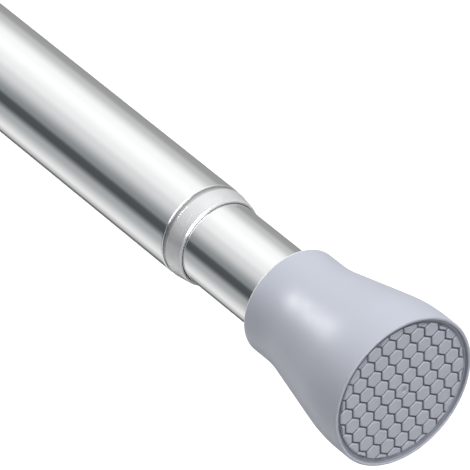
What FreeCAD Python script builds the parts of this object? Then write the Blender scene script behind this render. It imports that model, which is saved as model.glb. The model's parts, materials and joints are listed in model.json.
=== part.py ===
import FreeCAD, Part
import math
import os

V = FreeCAD.Vector

# Spring tension rod, twist-lock type, closed. It lies along X: the wall face of the fixed foot
# is at X = 0, and the sliding tube leaves towards +X. All sizes are in millimetres.

# Motion
extension_travel = 204.0
spring_travel = 25.0
thread_lead = 2.0
lock_turns = 1.0

# Clearances: radial, unless the name says otherwise
fit_gap = 0.05
running_gap = 0.1
free_gap = 0.3
face_gap = 0.1

# Tubes
outer_tube_od = 25.0
tube_wall = 0.6
tube_gap = 0.9
mouth_lip = 0.3
flare_length = 2.0
flare_run = 3.0
slot_land = 5.0

# Rubber feet
foot_od = 40.0
foot_length = 43.3
foot_floor = 8.0
foot_neck_wall = 1.8
foot_neck_length = 8.6
foot_neck_blend = 3.4
foot_shoulder = 9.15
foot_shoulder_blend = 5.0
foot_edge = 0.4
foot_back_edge = 0.5
rim_width = 1.25
rim_inner_edge = 0.2
recess_depth = 0.4

# Honeycomb grip face of the feet
tile_pitch = 4.15
groove_width = 0.4
groove_depth = 0.5
ring_groove = 0.25
gate_dimple = 0.9
gate_depth = 0.2
smallest_sliver = 0.3

# Moulded end plugs of the tubes
plug_flange = 1.5
plug_floor = 2.5
plug_depth = 7.5
plug_wall = 1.6

# Clear guide collar in the mouth of the outer tube
collar_spigot = 36.1
collar_neck = 1.4
collar_neck_depth = 0.45
collar_shoulder_depth = 0.05
collar_shoulder_edge = 0.35
collar_nose = 6.4
collar_nose_taper = 0.6
collar_nose_edge = 0.65

# Twist lock: wedge nut, split sleeve and screw
collapse_gap = 1.3
nut_rim = 3.0
nut_rim_gap = 0.6
nut_cone_length = 13.0
nut_cone_gap = 1.3
nut_cone_rise = 2.6
nut_key_width = 1.7
nut_key_count = 3
nut_key_inset = 0.6
sleeve_lead = 2.7
sleeve_length = 30.0
sleeve_cone_length = 12.0
sleeve_throat_length = 6.0
sleeve_slit_length = 20.0
sleeve_edge = 0.5
screw_od = 10.0
journal_od = 11.0
screw_thread_past_nut = 5.0
screw_flange_gap = 1.4
screw_flange = 3.0
screw_past_pin = 12.0
screw_tip_edge = 1.0
end_screw_od = 4.0
end_screw_length = 10.0
end_screw_head_od = 7.0
end_screw_head = 3.0
end_screw_edge = 0.7
end_screw_key = 2.5
end_screw_key_depth = 1.8
end_washer_od = 15.0

# Spring unit in the inner tube
washer_thickness = 1.0
washer_slack = 0.6
press_gap = 1.0
stop_gap = 0.5
foot_gap = 3.7
drive_pin_od = 4.0
pin_inset = 0.2
plunger_inset = 2.0
plunger_floor = 8.0
plunger_waist = 4.0
plunger_waist_depth = 1.5
spigot_length = 8.0
spigot_slack = 0.3
wire_od = 2.0
spring_gap = 1.15
spring_length = 90.0
active_coils = 9
end_coils = 1
wire_sides = 6
sections_per_turn = 16
spring_stop_length = 20.0
stop_pin_od = 3.0

# Radii that follow
outer_r = outer_tube_od / 2
outer_bore = outer_r - tube_wall
inner_r = outer_bore - tube_gap
inner_bore = inner_r - tube_wall
flare_r = outer_bore - free_gap
foot_r = foot_od / 2
foot_neck_r = outer_r + foot_neck_wall
recess_r = foot_r - rim_width
collar_bore = inner_r + running_gap
sleeve_r = outer_bore - running_gap
journal_bore = journal_od / 2 + running_gap
nut_cone_root = outer_bore - nut_cone_gap
nut_cone_tip = nut_cone_root - nut_cone_rise
screw_flange_r = inner_bore - screw_flange_gap
drive_hole = drive_pin_od / 2 + fit_gap
stop_hole = stop_pin_od / 2 + fit_gap
washer_r = inner_bore - washer_slack
coil_r = inner_bore - spring_gap - wire_od / 2
spigot_r = coil_r - wire_od / 2 - spigot_slack

# Places along the rod that follow, from the fixed foot to the sliding foot
lock_travel = thread_lead * lock_turns
outer_tube_start = foot_floor + plug_flange
nut_back = outer_tube_start + plug_depth + collapse_gap
nut_cone_start = nut_back + nut_rim
nut_front = nut_cone_start + nut_cone_length
end_washer_start = nut_back - free_gap - washer_thickness
sleeve_start = nut_cone_start + lock_travel + sleeve_lead
sleeve_end = sleeve_start + sleeve_length
thrust_washer_start = sleeve_end + face_gap
flange_start = thrust_washer_start + washer_thickness + face_gap
inner_tube_start = sleeve_end + spring_travel + press_gap
flare_end = inner_tube_start + flare_length + flare_run
drive_pin_x = flare_end + slot_land
screw_tip = drive_pin_x + screw_past_pin
plunger_start = inner_tube_start + plunger_inset
plunger_end = screw_tip + plunger_floor
spring_start = plunger_end + washer_thickness + face_gap
spring_end = spring_start + spring_length
stop_start = spring_end + face_gap + washer_thickness
stop_pin_x = stop_start + spring_stop_length / 2
mouth = flare_end + extension_travel + stop_gap + collar_spigot
collar_front = mouth + collar_nose
closed_length = collar_front + spring_travel + foot_gap + foot_length
inner_tube_end = closed_length - foot_floor - plug_flange


def along(point, target, distance):
    """The place at a distance from a point, on the way to a target."""
    step = target - point
    return point + step * (distance / step.Length)


def arc_corner(x, r, run):
    """A corner of an outline that is rounded by an arc, tangent at a run from the corner."""
    return x, r, run, True


def eased_corner(x, r, run):
    """A small rounded edge, drawn as two flats."""
    return x, r, run, False


def outline(corners):
    """A closed wire through corners that are (x, radius), arc_corner or eased_corner."""
    points = [V(corner[0], 0, corner[1]) for corner in corners]
    edges = []
    ends = []
    for i, corner in enumerate(corners):
        here = points[i]
        if len(corner) == 2:
            ends.append((here, here))
            continue
        before = points[i - 1]
        after = points[(i + 1) % len(points)]
        run, round_arc = corner[2:]
        start = along(here, before, run)
        end = along(here, after, run)
        half = (before - here).getAngle(after - here) / 2
        middle = along(here, (start + end) * 0.5, run * (1 / math.cos(half) - math.tan(half)))
        ends.append((start, end))
        if round_arc:
            edges.append(Part.Arc(start, middle, end).toShape())
        else:
            edges.append(Part.makeLine(start, middle))
            edges.append(Part.makeLine(middle, end))
    for i, (start, end) in enumerate(ends):
        edges.append(Part.makeLine(ends[i - 1][1], start))
    return Part.Wire(Part.__sortEdges__(edges))


def turned(corners):
    """A solid turned about the rod's axis from the corners of its outline."""
    return Part.Face(outline(corners)).revolve(V(0, 0, 0), V(1, 0, 0), 360)


def ring(start, length, radius, bore):
    return turned([(start, bore), (start, radius), (start + length, radius), (start + length, bore)])


def cross_pin(x, radius, half_length, direction):
    """A pin across the rod's axis, with its middle on the axis."""
    return Part.makeCylinder(radius, 2 * half_length, V(x, 0, 0) - direction * half_length, direction)


def honeycomb_grooves():
    """The groove net between and round hexagonal tiles, one on the axis, with their rows along Y."""
    across_corners = (tile_pitch - groove_width) / math.sqrt(3)
    field_r = recess_r - ring_groove
    reach = field_r + (tile_pitch - groove_width) / 2 - smallest_sliver
    row_step = tile_pitch * math.sqrt(3) / 2
    rows = math.ceil(reach / row_step)
    columns = math.ceil(reach / tile_pitch) + 1
    floor = recess_depth + groove_depth
    turns = [math.radians(30 + 60 * k) for k in range(7)]
    hexagon = [V(0, across_corners * math.cos(t), across_corners * math.sin(t)) for t in turns]
    tile = Part.Face(Part.makePolygon(hexagon)).extrude(V(floor, 0, 0))
    tiles = []
    for row in range(-rows, rows + 1):
        for column in range(-columns, columns + 1):
            y = tile_pitch * (column + (row % 2) / 2)
            z = row_step * row
            if math.hypot(y, z) < reach:
                tiles.append(tile.translated(V(0, y, z)))
    field = Part.makeCylinder(field_r, floor, V(0, 0, 0), V(1, 0, 0))
    net = Part.makeCylinder(recess_r, groove_depth, V(recess_depth, 0, 0), V(1, 0, 0))
    return net.cut([placed.common(field) for placed in tiles])


def foot(socket):
    """A rubber foot with its wall face at X = 0 and its socket open towards +X."""
    body = turned([
        (foot_floor, 0),
        (foot_floor, socket),
        (foot_length, socket),
        eased_corner(foot_length, foot_neck_r, foot_back_edge),
        arc_corner(foot_length - foot_neck_length, foot_neck_r, foot_neck_blend),
        arc_corner(foot_shoulder, foot_r, foot_shoulder_blend),
        eased_corner(0, foot_r, foot_edge),
        (0, recess_r + rim_inner_edge),
        (rim_inner_edge, recess_r),
        (recess_depth, recess_r),
        (recess_depth, 0),
    ])
    dimple = Part.makeCylinder(gate_dimple / 2, gate_depth, V(recess_depth, 0, 0), V(1, 0, 0))
    return body.cut([honeycomb_grooves(), dimple])


def tube_plug(tube_r, bore):
    """A cup-shaped plug, flange at X = 0, which closes a tube that starts at the flange."""
    body_r = bore - fit_gap
    end = plug_flange + plug_depth
    return turned([
        (0, 0),
        (0, tube_r),
        (plug_flange, tube_r),
        (plug_flange, body_r),
        (end, body_r),
        (end, body_r - plug_wall),
        (plug_floor, body_r - plug_wall),
        (plug_floor, 0),
    ])


def facing_back(shape):
    """The same piece at the sliding end, turned half round Z."""
    back = shape.copy()
    back.rotate(V(0, 0, 0), V(0, 0, 1), 180)
    return back.translated(V(closed_length, 0, 0))


def outer_tube():
    return turned([
        (outer_tube_start, outer_bore),
        (outer_tube_start, outer_r),
        eased_corner(mouth, outer_r, mouth_lip),
        (mouth, outer_bore),
    ])


def inner_tube():
    """The sliding tube, with its flared stop end, the drive pin's slots and the stop pin's holes."""
    tube = turned([
        (inner_tube_start, flare_r - tube_wall),
        (inner_tube_start, flare_r),
        (inner_tube_start + flare_length, flare_r),
        (flare_end, inner_r),
        (inner_tube_end, inner_r),
        (inner_tube_end, inner_bore),
        (flare_end, inner_bore),
        (inner_tube_start + flare_length, flare_r - tube_wall),
    ])
    slot_r = drive_pin_od / 2 + running_gap
    slot_end_x = drive_pin_x + spring_travel
    ends = [cross_pin(x, slot_r, outer_r, V(0, 1, 0)) for x in (drive_pin_x, slot_end_x)]
    middle = Part.makeBox(spring_travel, 2 * outer_r, 2 * slot_r, V(drive_pin_x, -outer_r, -slot_r))
    slot = ends[0].fuse([ends[1], middle]).removeSplitter()
    return tube.cut([slot, cross_pin(stop_pin_x, stop_hole, outer_r, V(0, 0, 1))])


def mouth_collar():
    spigot = outer_bore - fit_gap
    neck_r = outer_r - collar_neck_depth
    shoulder_r = outer_r - collar_shoulder_depth
    return turned([
        (mouth - collar_spigot, collar_bore),
        (mouth - collar_spigot, spigot),
        (mouth, spigot),
        (mouth, neck_r),
        (mouth + collar_neck, neck_r),
        eased_corner(mouth + collar_neck, shoulder_r, collar_shoulder_edge),
        eased_corner(collar_front, shoulder_r - collar_nose_taper, collar_nose_edge),
        (collar_front, collar_bore),
    ])


def nut_cone_radius(x):
    """The wedge nut's radius at x, loose."""
    share = (x - nut_cone_start) / nut_cone_length
    return nut_cone_root - nut_cone_rise * share


def wedge_nut():
    bore = screw_od / 2 + running_gap
    nut = turned([
        (nut_back, bore),
        (nut_back, outer_bore - nut_rim_gap),
        (nut_cone_start, outer_bore - nut_rim_gap),
        (nut_cone_start, nut_cone_root),
        (nut_front, nut_cone_tip),
        (nut_front, bore),
    ])
    key_r = sleeve_r - nut_key_inset
    key_foot = (bore + nut_cone_tip) / 2
    corner = V(nut_cone_start, key_foot, -nut_key_width / 2)
    blade = Part.makeBox(nut_cone_length, key_r, nut_key_width, corner)
    limit = Part.makeCylinder(key_r, nut_cone_length, V(nut_cone_start, 0, 0), V(1, 0, 0))
    keys = []
    for k in range(nut_key_count):
        turned_blade = blade.copy()
        turned_blade.rotate(V(0, 0, 0), V(1, 0, 0), 360 * k / nut_key_count)
        keys.append(turned_blade.common(limit))
    return nut.fuse(keys).removeSplitter()


def lock_sleeve():
    """The split sleeve. Its cone meets the wedge nut's when the nut is drawn in."""
    cone_end = sleeve_start + sleeve_cone_length
    throat_end = cone_end + sleeve_throat_length
    mouth_r = nut_cone_radius(sleeve_start - lock_travel) + running_gap
    throat_r = nut_cone_radius(cone_end - lock_travel) + running_gap
    sleeve = turned([
        (sleeve_start, mouth_r),
        (sleeve_start, sleeve_r - sleeve_edge),
        (sleeve_start + sleeve_edge, sleeve_r),
        (sleeve_end - sleeve_edge, sleeve_r),
        (sleeve_end, sleeve_r - sleeve_edge),
        (sleeve_end, journal_bore),
        (throat_end, journal_bore),
        (throat_end, throat_r),
        (cone_end, throat_r),
    ])
    width = nut_key_width + 2 * free_gap
    slit = Part.makeBox(sleeve_slit_length, 2 * sleeve_r, width, V(sleeve_start, -sleeve_r, -width / 2))
    slits = []
    for k in range(nut_key_count):
        turned_slit = slit.copy()
        turned_slit.rotate(V(0, 0, 0), V(1, 0, 0), 360 * k / nut_key_count)
        slits.append(turned_slit)
    return sleeve.cut(slits)


def lock_screw():
    """The screw, its thread drawn at the outside diameter, with flange, shank and cross hole."""
    start = nut_back - free_gap
    thread_end = nut_front + screw_thread_past_nut
    shank_r = journal_od / 2
    screw = turned([
        (start, 0),
        (start, screw_od / 2),
        (thread_end, screw_od / 2),
        (thread_end, shank_r),
        (flange_start, shank_r),
        (flange_start, screw_flange_r),
        (flange_start + screw_flange, screw_flange_r),
        (flange_start + screw_flange, shank_r),
        (screw_tip - screw_tip_edge, shank_r),
        (screw_tip, shank_r - screw_tip_edge),
        (screw_tip, 0),
    ])
    tapped = Part.makeCylinder(end_screw_od / 2, end_screw_length + free_gap, V(start, 0, 0), V(1, 0, 0))
    return screw.cut([tapped, cross_pin(drive_pin_x, drive_hole, outer_r, V(0, 1, 0))])


def end_screw():
    shank_r = end_screw_od / 2 - fit_gap
    head_start = end_washer_start - end_screw_head
    tip = end_washer_start + washer_thickness + end_screw_length
    screw = turned([
        (head_start, 0),
        eased_corner(head_start, end_screw_head_od / 2, end_screw_edge),
        (end_washer_start, end_screw_head_od / 2),
        (end_washer_start, shank_r),
        (tip, shank_r),
        (tip, 0),
    ])
    turns = [math.radians(60 * k) for k in range(7)]
    key_r = end_screw_key / math.sqrt(3)
    hexagon = [V(head_start, key_r * math.cos(t), key_r * math.sin(t)) for t in turns]
    key = Part.Face(Part.makePolygon(hexagon)).extrude(V(end_screw_key_depth, 0, 0))
    return screw.cut(key)


def sliding_plug():
    """The plunger that the spring pushes, pinned on the end of the lock screw."""
    land_r = inner_bore - running_gap
    bore = journal_od / 2 + fit_gap
    waist_start = drive_pin_x + drive_pin_od
    waist_end = waist_start + plunger_waist
    waist_r = land_r - plunger_waist_depth
    plug = turned([
        (plunger_start, bore),
        (plunger_start, land_r),
        (waist_start, land_r),
        (waist_start, waist_r),
        (waist_end, waist_r),
        (waist_end, land_r),
        (plunger_end, land_r),
        (plunger_end, spigot_r),
        (plunger_end + spigot_length, spigot_r),
        (plunger_end + spigot_length, 0),
        (screw_tip + free_gap, 0),
        (screw_tip + free_gap, bore),
    ])
    return plug.cut(cross_pin(drive_pin_x, drive_hole, outer_r, V(0, 1, 0)))


def spring_stop():
    body_r = inner_bore - fit_gap
    end = stop_start + spring_stop_length
    stop = turned([
        (stop_start - spigot_length, 0),
        (stop_start - spigot_length, spigot_r),
        (stop_start, spigot_r),
        (stop_start, body_r),
        (end, body_r),
        (end, 0),
    ])
    return stop.cut(cross_pin(stop_pin_x, stop_hole, outer_r, V(0, 0, 1)))


def tension_spring():
    """A compression spring with closed ends, lofted through sections of its wire."""
    wire_r = wire_od / 2
    closed_pitch = wire_od + face_gap
    open_run = spring_length - wire_od - 2 * end_coils * closed_pitch
    open_pitch = open_run / active_coils
    turns = active_coils + 2 * end_coils
    sections = []
    for i in range(turns * sections_per_turn + 1):
        turn = i / sections_per_turn
        open_turns = min(max(turn - end_coils, 0), active_coils)
        x = spring_start + wire_r + closed_pitch * (turn - open_turns) + open_pitch * open_turns
        points = []
        for k in range(wire_sides + 1):
            a = 2 * math.pi * k / wire_sides
            radius = coil_r + wire_r * math.cos(a)
            angle = 2 * math.pi * turn
            points.append(V(x + wire_r * math.sin(a), radius * math.cos(angle), radius * math.sin(angle)))
        sections.append(Part.makePolygon(points))
    return Part.makeLoft(sections, True, True)


def all_pieces():
    washer_bore = spigot_r + fit_gap
    drive_half = inner_r - pin_inset
    return {
        "outer_tube": outer_tube(),
        "inner_tube": inner_tube(),
        "mouth_collar": mouth_collar(),
        "outer_end_cap": foot(outer_r + fit_gap),
        "inner_end_cap": facing_back(foot(inner_r + fit_gap)),
        "outer_tube_plug": tube_plug(outer_r, outer_bore).translated(V(foot_floor, 0, 0)),
        "inner_tube_plug": facing_back(tube_plug(inner_r, inner_bore).translated(V(foot_floor, 0, 0))),
        "lock_sleeve": lock_sleeve(),
        "wedge_nut": wedge_nut(),
        "lock_screw": lock_screw(),
        "end_washer": ring(end_washer_start, washer_thickness, end_washer_od / 2, end_screw_od / 2 + fit_gap),
        "end_screw": end_screw(),
        "thrust_washer": ring(thrust_washer_start, washer_thickness, inner_bore - free_gap, journal_bore),
        "sliding_plug": sliding_plug(),
        "drive_pin": cross_pin(drive_pin_x, drive_pin_od / 2, drive_half, V(0, 1, 0)),
        "plug_washer": ring(plunger_end, washer_thickness, washer_r, washer_bore),
        "tension_spring": tension_spring(),
        "stop_washer": ring(stop_start - washer_thickness, washer_thickness, washer_r, washer_bore),
        "spring_stop": spring_stop(),
        "stop_pin": cross_pin(stop_pin_x, stop_pin_od / 2, drive_half, V(0, 0, 1)),
    }


os.makedirs("parts", exist_ok=True)
for name, shape in all_pieces().items():
    shape.exportStep(f"parts/{name}.step")
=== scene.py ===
import json
import math

import bmesh
import bpy
from mathutils import Matrix, Vector
from mathutils.geometry import delaunay_2d_cdt


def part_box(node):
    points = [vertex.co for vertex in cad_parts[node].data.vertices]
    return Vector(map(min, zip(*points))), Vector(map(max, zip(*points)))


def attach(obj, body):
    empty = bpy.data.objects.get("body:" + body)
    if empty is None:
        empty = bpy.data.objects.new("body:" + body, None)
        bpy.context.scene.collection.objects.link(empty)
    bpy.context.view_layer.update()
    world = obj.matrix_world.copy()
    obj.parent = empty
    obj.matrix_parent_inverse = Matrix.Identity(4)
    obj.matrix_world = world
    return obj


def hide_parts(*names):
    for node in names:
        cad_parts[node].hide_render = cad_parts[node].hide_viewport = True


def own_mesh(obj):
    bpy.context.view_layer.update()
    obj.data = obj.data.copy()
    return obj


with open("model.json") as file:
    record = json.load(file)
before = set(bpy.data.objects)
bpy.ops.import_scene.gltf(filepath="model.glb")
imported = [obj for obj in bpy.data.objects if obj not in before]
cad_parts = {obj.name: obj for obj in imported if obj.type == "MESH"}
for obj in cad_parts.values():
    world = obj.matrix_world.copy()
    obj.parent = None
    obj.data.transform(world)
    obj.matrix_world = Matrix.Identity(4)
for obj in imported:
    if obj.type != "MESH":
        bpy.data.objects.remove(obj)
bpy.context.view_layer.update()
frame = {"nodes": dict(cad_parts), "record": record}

scene = bpy.context.scene
scene.view_settings.view_transform = "Standard"

# The rod lies along X. Lengths are in metres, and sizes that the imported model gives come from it.
MM = 0.001

# Smoothness of the meshes
segments = 240
arc_steps = 8
hole_sides = 32
gate_sides = 20
tile_edge_steps = 4
wire_sides = 14
coil_steps = 72
thread_rows = 12
support_gap = 0.04 * MM
same_place = 1e-9
sharp_angle = math.radians(38)
clear_corner = math.radians(20)

# Tubes
outer_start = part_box("outer_tube")[0].x
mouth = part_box("outer_tube")[1].x
outer_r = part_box("outer_tube")[1].z
tube_wall = 0.6 * MM
outer_bore = outer_r - tube_wall
mouth_lip = 0.3 * MM
inner_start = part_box("inner_tube")[0].x
inner_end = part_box("inner_tube")[1].x
flare_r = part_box("inner_tube")[1].z
inner_r = 11.0 * MM
inner_bore = inner_r - tube_wall
flare_length = 2.0 * MM
flare_run = 3.0 * MM
slot_half_width = 2.1 * MM
spring_travel = 25.0 * MM
stop_hole_r = 1.55 * MM

# Guide collar
collar_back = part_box("mouth_collar")[0].x
collar_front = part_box("mouth_collar")[1].x
collar_gap = 0.1 * MM
collar_bore = inner_r + collar_gap
collar_fit = 0.05 * MM
collar_spigot_r = outer_bore - collar_fit
collar_neck = 1.4 * MM
collar_neck_depth = 0.45 * MM
collar_neck_r = outer_r - collar_neck_depth
collar_shoulder_drop = 0.05 * MM
collar_shoulder_r = outer_r - collar_shoulder_drop
collar_shoulder_edge = 0.35 * MM
collar_taper = 0.6 * MM
collar_nose_r = collar_shoulder_r - collar_taper
collar_nose_edge = 0.4 * MM
collar_nose_round = 0.08 * MM
collar_front_r = collar_nose_r - collar_nose_edge

# Painted shade on the collar: how dark it is, from its neck's start forwards and from its front's edge
# inwards
neck_shade = 0.9
neck_shade_fall = 0.7
front_shade = 0.15
front_shade_rise = 0.4

# Rubber feet
rod_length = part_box("inner_end_cap")[1].x
foot_length = rod_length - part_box("inner_end_cap")[0].x
foot_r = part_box("inner_end_cap")[1].z
foot_floor = 8.0 * MM
foot_neck_wall = 1.8 * MM
foot_neck_r = outer_r + foot_neck_wall
foot_neck_length = 8.6 * MM
foot_neck_end = foot_length - foot_neck_length
foot_neck_blend = 3.4 * MM
foot_shoulder = 9.15 * MM
foot_shoulder_blend = 5.0 * MM
foot_edge = 0.4 * MM
foot_back_edge = 0.5 * MM
socket_gap = 0.05 * MM
socket_edge = 0.2 * MM
rim_width = 0.9 * MM
rim_slope_width = 0.3 * MM
rim_slope_depth = 0.2 * MM
rim_round = rim_slope_width / 4
recess_r = foot_r - rim_width
recess_depth = 0.4 * MM

# Painted shade on the rubber: how dark it is below the rim's slope, at the wall's foot and on the floor
# round the tiles, how far the wall's shade reaches on that floor, and how fast the tiles' sides darken
lip_shade = 1.0
wall_shade = 0.6
ring_shade = 0.1
wall_shade_width = 0.3 * MM
tile_shade = 2.0

# Honeycomb
tile_pitch = 4.15 * MM
groove_width = 0.48 * MM
groove_depth = 0.5 * MM
tile_corner = 0.22 * MM
tile_edge = 0.22 * MM
ring_groove = 1.0 * MM
smallest_sliver = 0.3 * MM
gate_r = 0.8 * MM
gate_slope = gate_r / 5
gate_depth = 0.25 * MM
gate_offset = Vector((-0.43, 0.2)) * MM

# Lock screw and spring
screw_start, screw_end = (corner.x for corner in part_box("lock_screw"))
screw_flange_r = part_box("lock_screw")[1].z
thread_past_nut = 5.0 * MM
thread_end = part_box("wedge_nut")[1].x + thread_past_nut
thread_r = 5.0 * MM
thread_depth = 0.9 * MM
thread_lead = 2.0 * MM
journal_r = 5.5 * MM
flange_gap = 0.1 * MM
flange_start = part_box("thrust_washer")[1].x + flange_gap
flange_length = 3.0 * MM
screw_tip_edge = 1.0 * MM
tapped_r = 2.0 * MM
tapped_depth = 10.3 * MM
drive_pin_x = sum(corner.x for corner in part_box("drive_pin")) / 2
drive_hole_r = 2.05 * MM
stop_pin_x = sum(corner.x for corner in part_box("stop_pin")) / 2
spring_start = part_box("tension_spring")[0].x
spring_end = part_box("tension_spring")[1].x
wire_r = 1.0 * MM
coil_r = 8.25 * MM
active_coils = 9
end_coils = 1
closed_pitch = 2.1 * MM

# Camera, fitted to the photograph
photo_size = 470
focal_pixels = 6259
face_pixel = Vector((403.78, 392.09))
face_distance = 1.454
view_azimuth = math.radians(53.4)
view_elevation = math.radians(36.55)

# Stage
floor_drop = 0.3
floor_size = 6.0
floor_grey = 0.72
floor_glow = 0.6

# Lights: the place of each from the sliding foot's face, its width and its power in watts
key_place = Vector((0.31, 0.24, 0.9)) * 1.3
key_size = 0.9
key_watts = 13.1
along_place = Vector((-0.95, -0.20, 0.29)) * 1.5
along_size = 0.5
along_watts = 6.9
front_place = Vector((0.76, -0.36, 0.52)) * 1.1
front_size = 1.2
front_watts = 11.0


def tangent_arc(before, corner, after, run):
    """Points of the arc that rounds a corner, from a run before it, with a close point past each end."""
    back = (before - corner).normalized()
    ahead = (after - corner).normalized()
    half = back.angle(ahead) / 2
    centre = corner + (back + ahead).normalized() * (run / math.cos(half))
    first = corner + back * run - centre
    last = corner + ahead * run - centre
    sweep = first.angle(last)
    points = [corner + back * (run + support_gap)]
    for step in range(arc_steps + 1):
        share = step / arc_steps
        weight_first = math.sin((1 - share) * sweep) / math.sin(sweep)
        weight_last = math.sin(share * sweep) / math.sin(sweep)
        points.append(centre + first * weight_first + last * weight_last)
    points.append(corner + ahead * (run + support_gap))
    return points


def rounded(corners):
    """The points of an outline whose corners are (x, radius), or (x, radius, run) where rounded."""
    places = [Vector(corner[:2]) for corner in corners]
    points = []
    for i, corner in enumerate(corners):
        if len(corner) == 2:
            points.append(places[i])
        else:
            after = places[(i + 1) % len(places)]
            points.extend(tangent_arc(places[i - 1], places[i], after, corner[2]))
    return points


def circle(bm, x, radius):
    """Points on a circle about the rod's axis, or one point where the radius is nothing."""
    if radius == 0:
        return [bm.verts.new((x, 0, 0))]
    turns = [2 * math.pi * k / segments for k in range(segments)]
    return [bm.verts.new((x, radius * math.cos(t), radius * math.sin(t))) for t in turns]


def skin(bm, first, second):
    """Faces between two rings of points, either of which may be a single point."""
    count = max(len(first), len(second))
    for i in range(count):
        j = (i + 1) % count
        near = [first[i % len(first)], first[j % len(first)]]
        far = [second[j % len(second)], second[i % len(second)]]
        bm.faces.new(list(dict.fromkeys(near + far)))


def turn(bm, corners, closed):
    """Turns an outline about the rod's axis, and gives its first and last rings."""
    rings = [circle(bm, x, radius) for x, radius in rounded(corners)]
    for first, second in zip(rings, rings[1:]):
        skin(bm, first, second)
    if closed:
        skin(bm, rings[-1], rings[0])
    return rings[0], rings[-1]


def mesh_of(name, bm):
    """A new mesh of what was drawn, with its faces turned outwards."""
    bmesh.ops.recalc_face_normals(bm, faces=bm.faces)
    mesh = bpy.data.meshes.new(name)
    bm.to_mesh(mesh)
    bm.free()
    return mesh


def shade(mesh):
    """Smooth faces with sharp edges at the corners."""
    mesh.polygons.foreach_set("use_smooth", [True] * len(mesh.polygons))
    mesh.set_sharp_from_angle(angle=sharp_angle)


def place(name, mesh, body, node, slot):
    """Shows a mesh as the piece that stands for a CAD node, on the node's body and in its finish."""
    piece = bpy.data.objects.new(name, mesh)
    scene.collection.objects.link(piece)
    mesh.materials.append(materials[slot])
    shade(mesh)
    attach(piece, body)
    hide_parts(node)
    return piece


def cross_cutter(x_first, x_last, radius, across):
    """A rounded bar across the rod, to cut a slot or a hole. The vector across is half its length."""
    bm = bmesh.new()
    side = across.cross(Vector((1, 0, 0))).normalized()
    rim = []
    for k in range(hole_sides):
        t = 2 * math.pi * (k + 0.5) / hole_sides
        x = (x_last if math.cos(t) > 0 else x_first) + radius * math.cos(t)
        rim.append(Vector((x, 0, 0)) + side * radius * math.sin(t))
    near = [bm.verts.new(point - across) for point in rim]
    far = [bm.verts.new(point + across) for point in rim]
    skin(bm, near, far)
    bm.faces.new(near)
    bm.faces.new(far)
    return mesh_of("cutter", bm)


def cut(mesh, cutters):
    """The mesh with other meshes cut out of it."""
    target = bpy.data.objects.new("target", mesh)
    scene.collection.objects.link(target)
    tools = []
    for cutter in cutters:
        tool = bpy.data.objects.new("tool", cutter)
        scene.collection.objects.link(tool)
        tools.append(tool)
        modifier = target.modifiers.new("cut", "BOOLEAN")
        modifier.operation = "DIFFERENCE"
        modifier.object = tool
    depsgraph = bpy.context.evaluated_depsgraph_get()
    result = bpy.data.meshes.new_from_object(target.evaluated_get(depsgraph))
    for spare in [target, *tools]:
        bpy.data.objects.remove(spare)
    return result


# Materials

# Noise values keep mostly between these
noise_low = 0.3
noise_high = 0.7


def new_material(name):
    """A material, with its tree of nodes and its shader."""
    material = bpy.data.materials.new(name)
    material.use_nodes = True
    tree = material.node_tree
    return material, tree, tree.nodes["Principled BSDF"]


def noise(tree, scale, detail=2.0, stretch=(1, 1, 1)):
    """A noise pattern fixed to the piece, with scale in waves a metre."""
    position = tree.nodes.new("ShaderNodeTexCoord")
    mapping = tree.nodes.new("ShaderNodeMapping")
    mapping.inputs["Scale"].default_value = stretch
    pattern = tree.nodes.new("ShaderNodeTexNoise")
    pattern.inputs["Scale"].default_value = scale
    pattern.inputs["Detail"].default_value = detail
    tree.links.new(position.outputs["Object"], mapping.inputs["Vector"])
    tree.links.new(mapping.outputs["Vector"], pattern.inputs["Vector"])
    return pattern.outputs["Fac"]


def spread(tree, value, low, high):
    """Maps a noise value to a range."""
    node = tree.nodes.new("ShaderNodeMapRange")
    node.inputs["From Min"].default_value = noise_low
    node.inputs["From Max"].default_value = noise_high
    node.inputs["To Min"].default_value = low
    node.inputs["To Max"].default_value = high
    tree.links.new(value, node.inputs["Value"])
    return node.outputs["Result"]


def tint(tree, value, dark, light):
    """A colour between two, by a noise value."""
    node = tree.nodes.new("ShaderNodeValToRGB")
    node.color_ramp.elements[0].position = noise_low
    node.color_ramp.elements[0].color = (*dark, 1)
    node.color_ramp.elements[1].position = noise_high
    node.color_ramp.elements[1].color = (*light, 1)
    tree.links.new(value, node.inputs["Fac"])
    return node.outputs["Color"]


def bump(tree, shader, height, strength, distance):
    """Roughens a finish by a noise value."""
    node = tree.nodes.new("ShaderNodeBump")
    node.inputs["Strength"].default_value = strength
    node.inputs["Distance"].default_value = distance
    tree.links.new(height, node.inputs["Height"])
    tree.links.new(node.outputs["Normal"], shader.inputs["Normal"])


def blended(tree, colour, attribute, other):
    """A colour that goes over to another one where the mesh's attribute says so."""
    painted_marks = tree.nodes.new("ShaderNodeAttribute")
    painted_marks.attribute_name = attribute
    mix = tree.nodes.new("ShaderNodeMix")
    mix.data_type = "RGBA"
    sockets = {socket.identifier: socket for socket in [*mix.inputs, *mix.outputs]}
    tree.links.new(colour, sockets["A_Color"])
    sockets["B_Color"].default_value = (*other, 1)
    tree.links.new(painted_marks.outputs["Fac"], mix.inputs["Factor"])
    return sockets["Result_Color"]


def chrome_material():
    """Bright chrome plate, with faint polishing lines along the tube."""
    material, tree, shader = new_material("bright_chrome")
    lines = noise(tree, scale=900, detail=3.0, stretch=(0.02, 1, 1))
    shader.inputs["Metallic"].default_value = 1.0
    colour = tint(tree, noise(tree, scale=14), dark=(0.90, 0.905, 0.91), light=(0.92, 0.922, 0.925))
    tree.links.new(colour, shader.inputs["Base Color"])
    tree.links.new(spread(tree, lines, low=0.06, high=0.10), shader.inputs["Roughness"])
    return material


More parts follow.
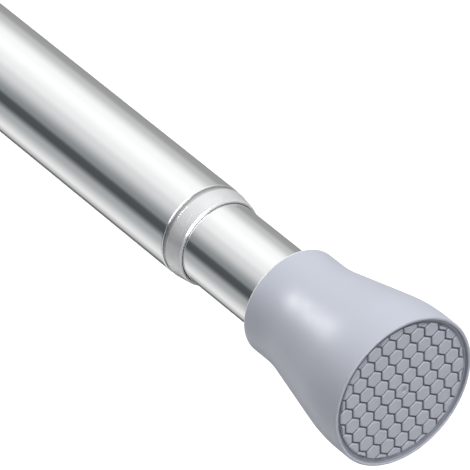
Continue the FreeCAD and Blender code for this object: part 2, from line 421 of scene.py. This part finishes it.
def clear_plastic_material():
    """Clear moulded plastic, a little milky. Its metal share is the chrome that shows through."""
    material, tree, shader = new_material("clear_plastic")
    cloud = noise(tree, scale=160, detail=3.0)
    colour = tint(tree, cloud, dark=(0.90, 0.91, 0.92), light=(0.97, 0.975, 0.98))
    # Painted shade in the collar's neck and round its bore
    colour = blended(tree, colour, "groove", other=(0.20, 0.20, 0.21))
    tree.links.new(colour, shader.inputs["Base Color"])
    tree.links.new(spread(tree, cloud, low=0.14, high=0.24), shader.inputs["Roughness"])
    shader.inputs["Metallic"].default_value = 0.3
    shader.inputs["IOR"].default_value = 1.58
    shader.inputs["Specular IOR Level"].default_value = 1.0
    shader.inputs["Transmission Weight"].default_value = 0.3
    bump(tree, shader, noise(tree, scale=700), strength=0.08, distance=0.1 * MM)
    return material


def rubber_material():
    """Satin moulded rubber, with painted shade down in the grip face's grooves and a painted highlight
    on the back edge.
    """
    material, tree, shader = new_material("grey_rubber")
    cloud = noise(tree, scale=45, detail=3.0)
    colour = tint(tree, cloud, dark=(0.545, 0.57, 0.65), light=(0.56, 0.585, 0.665))
    # Painted shade in the grooves, on the rim's wall and down the tiles' sides
    colour = blended(tree, colour, "groove", other=(0.22, 0.23, 0.27))
    # Painted highlight: a near-white line along the back edge
    colour = blended(tree, colour, "edge", other=(0.90, 0.91, 0.94))
    tree.links.new(colour, shader.inputs["Base Color"])
    tree.links.new(spread(tree, noise(tree, scale=300), low=0.34, high=0.40), shader.inputs["Roughness"])
    bump(tree, shader, noise(tree, scale=4200), strength=0.10, distance=0.05 * MM)
    return material


def nylon_material(name, dark, light):
    """Moulded nylon with a fine grain."""
    material, tree, shader = new_material(name)
    cloud = noise(tree, scale=120, detail=3.0)
    tree.links.new(tint(tree, cloud, dark, light), shader.inputs["Base Color"])
    tree.links.new(spread(tree, noise(tree, scale=500), low=0.42, high=0.58), shader.inputs["Roughness"])
    bump(tree, shader, noise(tree, scale=1500), strength=0.25, distance=0.1 * MM)
    return material


def plated_steel_material(name, dark, light, stretch):
    """Plated steel with fine lines from its making."""
    material, tree, shader = new_material(name)
    cloud = noise(tree, scale=260, detail=3.0)
    lines = noise(tree, scale=1400, detail=3.0, stretch=stretch)
    shader.inputs["Metallic"].default_value = 1.0
    tree.links.new(tint(tree, cloud, dark, light), shader.inputs["Base Color"])
    tree.links.new(spread(tree, lines, low=0.22, high=0.38), shader.inputs["Roughness"])
    bump(tree, shader, lines, strength=0.15, distance=0.05 * MM)
    return material


materials = {
    "chrome": chrome_material(),
    "clear_plastic": clear_plastic_material(),
    "grey_rubber": rubber_material(),
    "white_plastic": nylon_material("white_nylon", (0.74, 0.74, 0.69), (0.80, 0.80, 0.76)),
    "black_plastic": nylon_material("black_nylon", (0.035, 0.035, 0.038), (0.055, 0.055, 0.06)),
    "zinc_steel": plated_steel_material(
        "zinc_steel", (0.56, 0.58, 0.60), (0.66, 0.67, 0.68), stretch=(1, 0.2, 0.2)
    ),
    "spring_steel": plated_steel_material(
        "spring_steel", (0.36, 0.36, 0.37), (0.48, 0.48, 0.49), stretch=(1, 1, 1)
    ),
}


# Tubes and collar


def outer_tube():
    """The larger tube, rounded at its mouth."""
    bm = bmesh.new()
    outline = [
        (outer_start, outer_bore),
        (outer_start, outer_r),
        (mouth, outer_r, mouth_lip),
        (mouth, outer_bore),
    ]
    turn(bm, outline, closed=True)
    mesh = mesh_of("chrome_outer_tube", bm)
    place("chrome_outer_tube", mesh, "outer", "outer_tube", "chrome")


def inner_tube():
    """The sliding tube with its flared end, the drive pin's slots and the stop pin's holes. A ring of
    points past the cuts keeps the rest of the tube plain."""
    bm = bmesh.new()
    flare_end = inner_start + flare_length + flare_run
    past_cuts = stop_pin_x + 4 * stop_hole_r
    outline = [
        (inner_start, flare_r - tube_wall),
        (inner_start, flare_r),
        (inner_start + flare_length, flare_r),
        (flare_end, inner_r),
        (past_cuts, inner_r),
        (inner_end, inner_r),
        (inner_end, inner_bore),
        (past_cuts, inner_bore),
        (flare_end, inner_bore),
        (inner_start + flare_length, flare_r - tube_wall),
    ]
    turn(bm, outline, closed=True)
    slot_end = drive_pin_x + spring_travel
    slot = cross_cutter(drive_pin_x, slot_end, slot_half_width, Vector((0, outer_r, 0)))
    hole = cross_cutter(stop_pin_x, stop_pin_x, stop_hole_r, Vector((0, 0, outer_r)))
    mesh = cut(mesh_of("chrome_inner_tube", bm), [slot, hole])
    place("chrome_inner_tube", mesh, "inner", "inner_tube", "chrome")


def guide_collar():
    """The collar in the outer tube's mouth, with painted shade marked in its neck and round its bore."""
    bm = bmesh.new()
    shoulder = mouth + collar_neck
    outline = [
        (collar_back, collar_bore),
        (collar_back, collar_spigot_r),
        (mouth, collar_spigot_r),
        (mouth, collar_neck_r),
        (shoulder, collar_neck_r),
        (shoulder, collar_shoulder_r, collar_shoulder_edge),
        (collar_front - collar_nose_edge, collar_nose_r, collar_nose_round),
        (collar_front, collar_front_r, collar_nose_round),
        (collar_front, collar_bore),
    ]
    turn(bm, outline, closed=True)
    mesh = mesh_of("guide_collar", bm)
    # Painted shade: darkest at the neck's start and lighter forwards, and round the bore at the front,
    # darker inwards
    painted_marks = mesh.attributes.new("groove", "FLOAT", "POINT")
    for vert, mark in zip(mesh.vertices, painted_marks.data):
        x = vert.co.x
        radius = math.hypot(vert.co.y, vert.co.z)
        along_neck = mouth - support_gap < x < shoulder + support_gap
        front_share = (collar_front_r - radius) / (collar_front_r - collar_bore)
        if along_neck and radius < collar_neck_r + support_gap:
            mark.value = neck_shade - neck_shade_fall * (x - mouth) / collar_neck
        elif x > collar_front - support_gap and front_share > 0:
            mark.value = front_shade + front_shade_rise * front_share
    place("guide_collar", mesh, "outer", "mouth_collar", "clear_plastic")


# Feet


def tile_centres():
    """The middles of the honeycomb's tiles, one on the axis, with their rows along Y."""
    reach = recess_r - ring_groove + (tile_pitch - groove_width) / 2 - smallest_sliver
    row_step = tile_pitch * math.sqrt(3) / 2
    rows = math.ceil(reach / row_step)
    columns = math.ceil(reach / tile_pitch) + 1
    centres = []
    for row in range(-rows, rows + 1):
        for column in range(-columns, columns + 1):
            centre = Vector((tile_pitch * (column + (row % 2) / 2), row_step * row))
            if centre.length < reach:
                centres.append(centre)
    return centres


def clipped(polygon, limit):
    """A convex polygon cut to a circle about the axis, drawn with as many sides as the foot."""
    for k in range(segments):
        t = 2 * math.pi * (k + 0.5) / segments
        outward = Vector((math.cos(t), math.sin(t)))
        heights = [point.dot(outward) - limit for point in polygon]
        if max(heights) <= 0:
            continue
        kept = []
        for i, point in enumerate(polygon):
            previous = polygon[i - 1]
            if (heights[i - 1] > 0) != (heights[i] > 0):
                share = heights[i - 1] / (heights[i - 1] - heights[i])
                kept.append(previous.lerp(point, share))
            if heights[i] <= 0:
                kept.append(point)
        polygon = kept
    return polygon


def eased(polygon, run):
    """A polygon with its clear corners rounded, by a third of a side at most."""
    points = []
    for i, corner in enumerate(polygon):
        back = polygon[i - 1] - corner
        ahead = polygon[(i + 1) % len(polygon)] - corner
        if back.angle(-ahead) < clear_corner:
            points.append(corner)
            continue
        start = corner + back.normalized() * min(run, back.length / 3)
        end = corner + ahead.normalized() * min(run, ahead.length / 3)
        points.extend([start, (start + end + 2 * corner) / 4, end])
    return points


def inset(polygon, distance):
    """A convex polygon moved in from its sides."""
    moved = []
    for i, point in enumerate(polygon):
        back = (point - polygon[i - 1]).normalized()
        ahead = (polygon[(i + 1) % len(polygon)] - point).normalized()
        first = Vector((-back.y, back.x))
        second = Vector((-ahead.y, ahead.x))
        moved.append(point + (first + second) * (distance / (1 + first.dot(second))))
    return moved


def spare_width(polygon):
    """The least distance from a polygon's middle to its sides."""
    middle = sum(polygon, Vector((0, 0))) / len(polygon)
    widths = []
    for i, point in enumerate(polygon):
        side = point - polygon[i - 1]
        if side.length > 0:
            widths.append(abs(side.cross(middle - point)) / side.length)
    return min(widths)


def flat_loop(bm, polygon, x):
    """A polygon's points at a place along the rod."""
    return [bm.verts.new((x, point.x, point.y)) for point in polygon]


def fill_around(bm, outer, holes):
    """Triangles of the flat region between a loop of points and the loops inside it."""
    loops = [outer, *holes]
    verts = [vert for loop in loops for vert in loop]
    edges = []
    start = 0
    for loop in loops:
        count = len(loop)
        edges.extend((start + i, start + (i + 1) % count) for i in range(count))
        start += count
    flat = [Vector((vert.co.y, vert.co.z)) for vert in verts]
    hole_of = {}
    for number, loop in enumerate(loops):
        for vert in loop:
            hole_of[vert] = number
    _, _, faces, origins, _, _ = delaunay_2d_cdt(flat, edges, [], 0, same_place)
    for face in faces:
        corners = [verts[origins[i][0]] for i in face]
        numbers = {hole_of[vert] for vert in corners}
        if len(numbers) > 1 or numbers == {0}:
            bm.faces.new(corners)


def grip_tile(bm, polygon):
    """A tile of the grip face, with rounded upper edges. It gives the loops of its root and top."""
    floor = recess_depth + groove_depth
    edge = min(tile_edge, spare_width(polygon) / 2)
    root = flat_loop(bm, polygon, floor)
    below = root
    for step in range(tile_edge_steps + 1):
        t = math.pi / 2 * step / tile_edge_steps
        level = inset(polygon, edge * (1 - math.cos(t)))
        above = flat_loop(bm, level, recess_depth + edge * (1 - math.sin(t)))
        skin(bm, below, above)
        below = above
    top = flat_loop(bm, inset(polygon, edge + support_gap / 2), recess_depth)
    skin(bm, below, top)
    return root, top


def gate_mark(bm, top):
    """The small round mark that the mould's gate leaves on the middle tile."""
    turns = [2 * math.pi * k / gate_sides for k in range(gate_sides)]
    rim = [gate_offset + Vector((math.cos(t), math.sin(t))) * gate_r for t in turns]
    brim = flat_loop(bm, rim, recess_depth)
    fill_around(bm, top, [brim])
    bed = flat_loop(bm, inset(rim, gate_slope), recess_depth + gate_depth)
    skin(bm, brim, bed)
    bm.faces.new(bed)


def honeycomb(bm, wall_foot):
    """The floor of the recess with its tiles, joined to the lowest ring of the recess wall."""
    radius = (tile_pitch - groove_width) / math.sqrt(3)
    turns = [math.radians(30 + 60 * k) for k in range(6)]
    hexagon = [Vector((radius * math.cos(t), radius * math.sin(t))) for t in turns]
    roots = []
    for centre in tile_centres():
        polygon = clipped([centre + corner for corner in hexagon], recess_r - ring_groove)
        polygon = eased(polygon, tile_corner)
        root, top = grip_tile(bm, polygon)
        roots.append(root)
        if centre.length < groove_width:
            gate_mark(bm, top)
        else:
            bm.faces.new(top)
    fill_around(bm, wall_foot, roots)


def foot(name, tube_r, body, node):
    """A rubber foot, made with its wall face at X = 0 and turned round for the sliding end."""
    bm = bmesh.new()
    socket = tube_r + socket_gap
    outline = [
        (foot_floor, 0),
        (foot_floor, socket),
        (foot_length, socket, socket_edge),
        (foot_length, foot_neck_r, foot_back_edge),
        (foot_neck_end, foot_neck_r, foot_neck_blend),
        (foot_shoulder, foot_r, foot_shoulder_blend),
        (0, foot_r, foot_edge),
        (0, recess_r + rim_slope_width, rim_round),
        (rim_slope_depth, recess_r),
        (recess_depth, recess_r),
        (recess_depth + groove_depth, recess_r),
        # A ring of points on the floor that bounds the painted shade at the wall's foot
        (recess_depth + groove_depth, recess_r - wall_shade_width),
    ]
    _, wall_foot = turn(bm, outline, closed=False)
    honeycomb(bm, wall_foot)
    if node == "inner_end_cap":
        half_turn = Matrix.Translation((rod_length, 0, 0)) @ Matrix.Rotation(math.pi, 4, "Z")
        bm.transform(half_turn)
    mesh = mesh_of(name, bm)
    mark_grooves(mesh, node == "inner_end_cap")
    place(name, mesh, body, node, "grey_rubber")


def mark_grooves(mesh, turned_round):
    """Marks the points with painted shade, in the grooves, on the recess wall and on the floor round the
    tiles, from 0 in the open to 1, and those of the painted highlight on the back edge."""
    for name in ("edge", "groove"):
        mesh.attributes.new(name, "FLOAT", "POINT")
    edges = mesh.attributes["edge"].data
    grooves = mesh.attributes["groove"].data
    for vert, edge, groove in zip(mesh.vertices, edges, grooves):
        depth = rod_length - vert.co.x if turned_round else vert.co.x
        radius = math.hypot(vert.co.y, vert.co.z)
        # Painted highlight on the back edge's rounding
        if depth > foot_length - foot_back_edge and radius > foot_neck_r - foot_back_edge:
            edge.value = 1
        # Painted shade: dark below the rim's slope and on the wall, light on the floor round the tiles,
        # darker down the tiles' sides
        if radius > recess_r + support_gap or depth > recess_depth + 2 * groove_depth:
            continue
        if radius > recess_r - support_gap:
            share = lip_shade if depth < rim_slope_depth + support_gap else wall_shade
        elif radius > recess_r - ring_groove / 2:
            share = ring_shade
        else:
            share = (depth - recess_depth - tile_edge) / (groove_depth - tile_edge) * tile_shade
        groove.value = min(max(share, 0), 1)


# Spring and lock screw


def coil_spring():
    """A round wire wound into a compression spring with closed ends."""
    bm = bmesh.new()
    turns = active_coils + 2 * end_coils
    open_run = spring_end - spring_start - 2 * wire_r - 2 * end_coils * closed_pitch
    open_pitch = open_run / active_coils
    rings = []
    for step in range(turns * coil_steps + 1):
        turn_count = step / coil_steps
        open_turns = min(max(turn_count - end_coils, 0), active_coils)
        x = spring_start + wire_r + closed_pitch * (turn_count - open_turns) + open_pitch * open_turns
        angle = 2 * math.pi * turn_count
        ring = []
        for k in range(wire_sides):
            a = 2 * math.pi * k / wire_sides
            radius = coil_r + wire_r * math.cos(a)
            point = (x + wire_r * math.sin(a), radius * math.cos(angle), radius * math.sin(angle))
            ring.append(bm.verts.new(point))
        rings.append(ring)
    for first, second in zip(rings, rings[1:]):
        skin(bm, first, second)
    bm.faces.new(rings[0])
    bm.faces.new(rings[-1])
    mesh = mesh_of("coil_spring", bm)
    coil = place("coil_spring", mesh, "inner", "tension_spring", "spring_steel")
    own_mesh(coil)


def thread_ring(bm, x, fade):
    """A ring of the screw's thread. Crest, root and each flank take a quarter of the lead. The fade runs
    from 0, plain at the outside, to 1, full depth."""
    ring = []
    for k in range(segments):
        t = 2 * math.pi * k / segments
        phase = (x / thread_lead - k / segments) % 1
        flank = min(max(abs(phase - 0.5) * 4 - 0.5, 0), 1)
        radius = thread_r - thread_depth * fade * flank
        ring.append(bm.verts.new((x, radius * math.cos(t), radius * math.sin(t))))
    return ring


def threaded_screw():
    """The lock screw with its thread cut, its flange, tapped end and cross hole."""
    bm = bmesh.new()
    tapped_end = screw_start + tapped_depth
    tapped_hole = [(tapped_end, 0), (tapped_end, tapped_r), (screw_start, tapped_r)]
    _, lip = turn(bm, tapped_hole, closed=False)
    rows = round((thread_end - screw_start) / thread_lead * thread_rows)
    below = lip
    for row in range(rows + 1):
        x = screw_start + (thread_end - screw_start) * row / rows
        fade = min(row / thread_rows, (rows - row) / thread_rows, 1)
        above = thread_ring(bm, x, fade)
        skin(bm, below, above)
        below = above
    flange_end = flange_start + flange_length
    shank = [
        (thread_end, journal_r),
        (flange_start, journal_r),
        (flange_start, screw_flange_r),
        (flange_end, screw_flange_r),
        (flange_end, journal_r),
        (screw_end - screw_tip_edge, journal_r),
        (screw_end, journal_r - screw_tip_edge),
        (screw_end, 0),
    ]
    first, _ = turn(bm, shank, closed=False)
    skin(bm, below, first)
    hole = cross_cutter(drive_pin_x, drive_pin_x, drive_hole_r, Vector((0, outer_r, 0)))
    mesh = cut(mesh_of("threaded_screw", bm), [hole])
    place("threaded_screw", mesh, "spindle", "lock_screw", "zinc_steel")


def dress_nodes():
    """Gives each CAD node the finish that the record names for it."""
    for subpart in frame["record"]["subparts"]:
        node = frame["nodes"][subpart["node"]]
        node.data.materials.clear()
        node.data.materials.append(materials[subpart["material_slot"]])


# Stage, light and camera


def mix_by(tree, factor, first, second):
    """A shader that is the first one at factor 0 and the second at 1."""
    node = tree.nodes.new("ShaderNodeMixShader")
    tree.links.new(factor, node.inputs["Fac"])
    tree.links.new(first, node.inputs[1])
    tree.links.new(second, node.inputs[2])
    return node.outputs["Shader"]


# What polished metal sees of the studio, as brightness by angle about the rod in degrees:
# 0 is behind the rod, 90 above it, 180 in front and 270 below
studio_stops = [
    (0, 0.36),
    (22, 0.58),
    (60, 1.04),
    (80, 1.10),
    (110, 0.93),
    (128, 0.735),
    (165, 0.28),
    (175, 0.09),
    (187, 0.085),
    (208, 0.43),
    (250, 0.86),
    (266, 0.60),
    (283, 0.15),
    (310, 0.30),
    (360, 0.36),
]

# The dark band in front is a little blue, by how much less red and more blue it has
cool_first = 120
cool_last = 240
cool_red = 0.13
cool_blue = 0.06

# The even light that dull surfaces get from the room
room_level = 0.29


def studio_world():
    """White for the camera, an even room for dull surfaces, and bright and dark bands for shiny ones."""
    world = bpy.data.worlds.new("studio")
    scene.world = world
    world.use_nodes = True
    tree = world.node_tree
    tree.nodes.clear()
    direction = tree.nodes.new("ShaderNodeTexCoord")
    parts = tree.nodes.new("ShaderNodeSeparateXYZ")
    tree.links.new(direction.outputs["Generated"], parts.inputs["Vector"])
    angle = tree.nodes.new("ShaderNodeMath")
    angle.operation = "ARCTAN2"
    tree.links.new(parts.outputs["Z"], angle.inputs[0])
    tree.links.new(parts.outputs["Y"], angle.inputs[1])
    share = tree.nodes.new("ShaderNodeMath")
    share.operation = "DIVIDE"
    share.inputs[1].default_value = 2 * math.pi
    tree.links.new(angle.outputs["Value"], share.inputs[0])
    wrapped = tree.nodes.new("ShaderNodeMath")
    wrapped.operation = "FLOORED_MODULO"
    wrapped.inputs[1].default_value = 1.0
    tree.links.new(share.outputs["Value"], wrapped.inputs[0])
    bands = tree.nodes.new("ShaderNodeValToRGB")
    bands.color_ramp.interpolation = "EASE"
    elements = bands.color_ramp.elements
    elements.remove(elements[1])
    for degrees, level in studio_stops:
        element = elements[0] if degrees == 0 else elements.new(degrees / 360)
        cool = (1 - level) ** 2 if cool_first < degrees < cool_last else 0
        element.color = (level * (1 - cool_red * cool), level, level * (1 + cool_blue * cool), 1)
    tree.links.new(wrapped.outputs["Value"], bands.inputs["Fac"])
    studio = tree.nodes.new("ShaderNodeBackground")
    tree.links.new(bands.outputs["Color"], studio.inputs["Color"])
    room = tree.nodes.new("ShaderNodeBackground")
    room.inputs["Color"].default_value = (room_level, room_level, room_level, 1)
    white = tree.nodes.new("ShaderNodeBackground")
    white.inputs["Color"].default_value = (1, 1, 1, 1)
    rays = tree.nodes.new("ShaderNodeLightPath")
    through = tree.nodes.new("ShaderNodeMath")
    through.operation = "MAXIMUM"
    tree.links.new(rays.outputs["Is Camera Ray"], through.inputs[0])
    tree.links.new(rays.outputs["Is Transmission Ray"], through.inputs[1])
    is_dull = rays.outputs["Is Diffuse Ray"]
    lit = mix_by(tree, is_dull, studio.outputs["Background"], room.outputs["Background"])
    seen = mix_by(tree, through.outputs["Value"], lit, white.outputs["Background"])
    output = tree.nodes.new("ShaderNodeOutputWorld")
    tree.links.new(seen, output.inputs["Surface"])


def pale_floor():
    """A broad pale floor under the rod, white to the camera where no shadow lies."""
    bm = bmesh.new()
    half = floor_size / 2
    corners = [(-half, -half, 0), (half, -half, 0), (half, half, 0), (-half, half, 0)]
    bm.faces.new([bm.verts.new(corner) for corner in corners])
    bm.transform(Matrix.Translation((rod_length / 2, 0, -floor_drop)))
    floor = bpy.data.objects.new("floor", mesh_of("floor", bm))
    scene.collection.objects.link(floor)
    material, tree, shader = new_material("pale_floor")
    shader.inputs["Base Color"].default_value = (floor_grey, floor_grey, floor_grey, 1)
    shader.inputs["Roughness"].default_value = 1.0
    shader.inputs["Specular IOR Level"].default_value = 0.0
    glow = tree.nodes.new("ShaderNodeEmission")
    glow.inputs["Strength"].default_value = floor_glow
    lit = tree.nodes.new("ShaderNodeAddShader")
    tree.links.new(shader.outputs["BSDF"], lit.inputs[0])
    tree.links.new(glow.outputs["Emission"], lit.inputs[1])
    rays = tree.nodes.new("ShaderNodeLightPath")
    seen = mix_by(tree, rays.outputs["Is Camera Ray"], shader.outputs["BSDF"], lit.outputs["Shader"])
    tree.links.new(seen, tree.nodes["Material Output"].inputs["Surface"])
    floor.data.materials.append(material)
    floor.visible_glossy = False


def soft_light(name, offset, size, watts):
    """A round lamp that stands off from the sliding foot's face and shines at it."""
    data = bpy.data.lights.new(name, "AREA")
    data.shape = "DISK"
    data.size = size
    data.energy = watts
    face = Vector((rod_length, 0, 0))
    stand = face + offset
    light = bpy.data.objects.new(name, data)
    light.location = stand
    light.rotation_euler = (face - stand).to_track_quat("-Z", "Y").to_euler()
    scene.collection.objects.link(light)
    return light


def studio_lights():
    """A broad light above that shiny surfaces don't mirror, one down the rod that shines along the feet,
    and one in front that only glints on shiny edges."""
    key = soft_light("key", key_place, key_size, key_watts)
    key.visible_glossy = False
    soft_light("along", along_place, along_size, along_watts)
    front = soft_light("front", front_place, front_size, front_watts)
    front.visible_diffuse = False


def photo_camera():
    """The camera that saw the rod as the photograph shows it."""
    data = bpy.data.cameras.new("photo_camera")
    data.sensor_width = 36.0
    data.lens = data.sensor_width * focal_pixels / photo_size
    camera = bpy.data.objects.new("photo_camera", data)
    tilt = Matrix.Rotation(math.pi / 2 - view_elevation, 3, "X")
    turned = Matrix.Rotation(view_azimuth, 3, "Z") @ tilt
    offset = (face_pixel - Vector((photo_size, photo_size)) / 2) * face_distance / focal_pixels
    face = Vector((rod_length, 0, 0))
    camera.matrix_world = turned.to_4x4()
    camera.location = face - turned @ Vector((offset.x, -offset.y, -face_distance))
    scene.collection.objects.link(camera)
    scene.camera = camera


dress_nodes()
outer_tube()
inner_tube()
guide_collar()
foot("foot_outer", outer_r, "outer", "outer_end_cap")
foot("foot_inner", inner_r, "inner", "inner_end_cap")
coil_spring()
threaded_screw()
studio_world()
pale_floor()
studio_lights()
photo_camera()
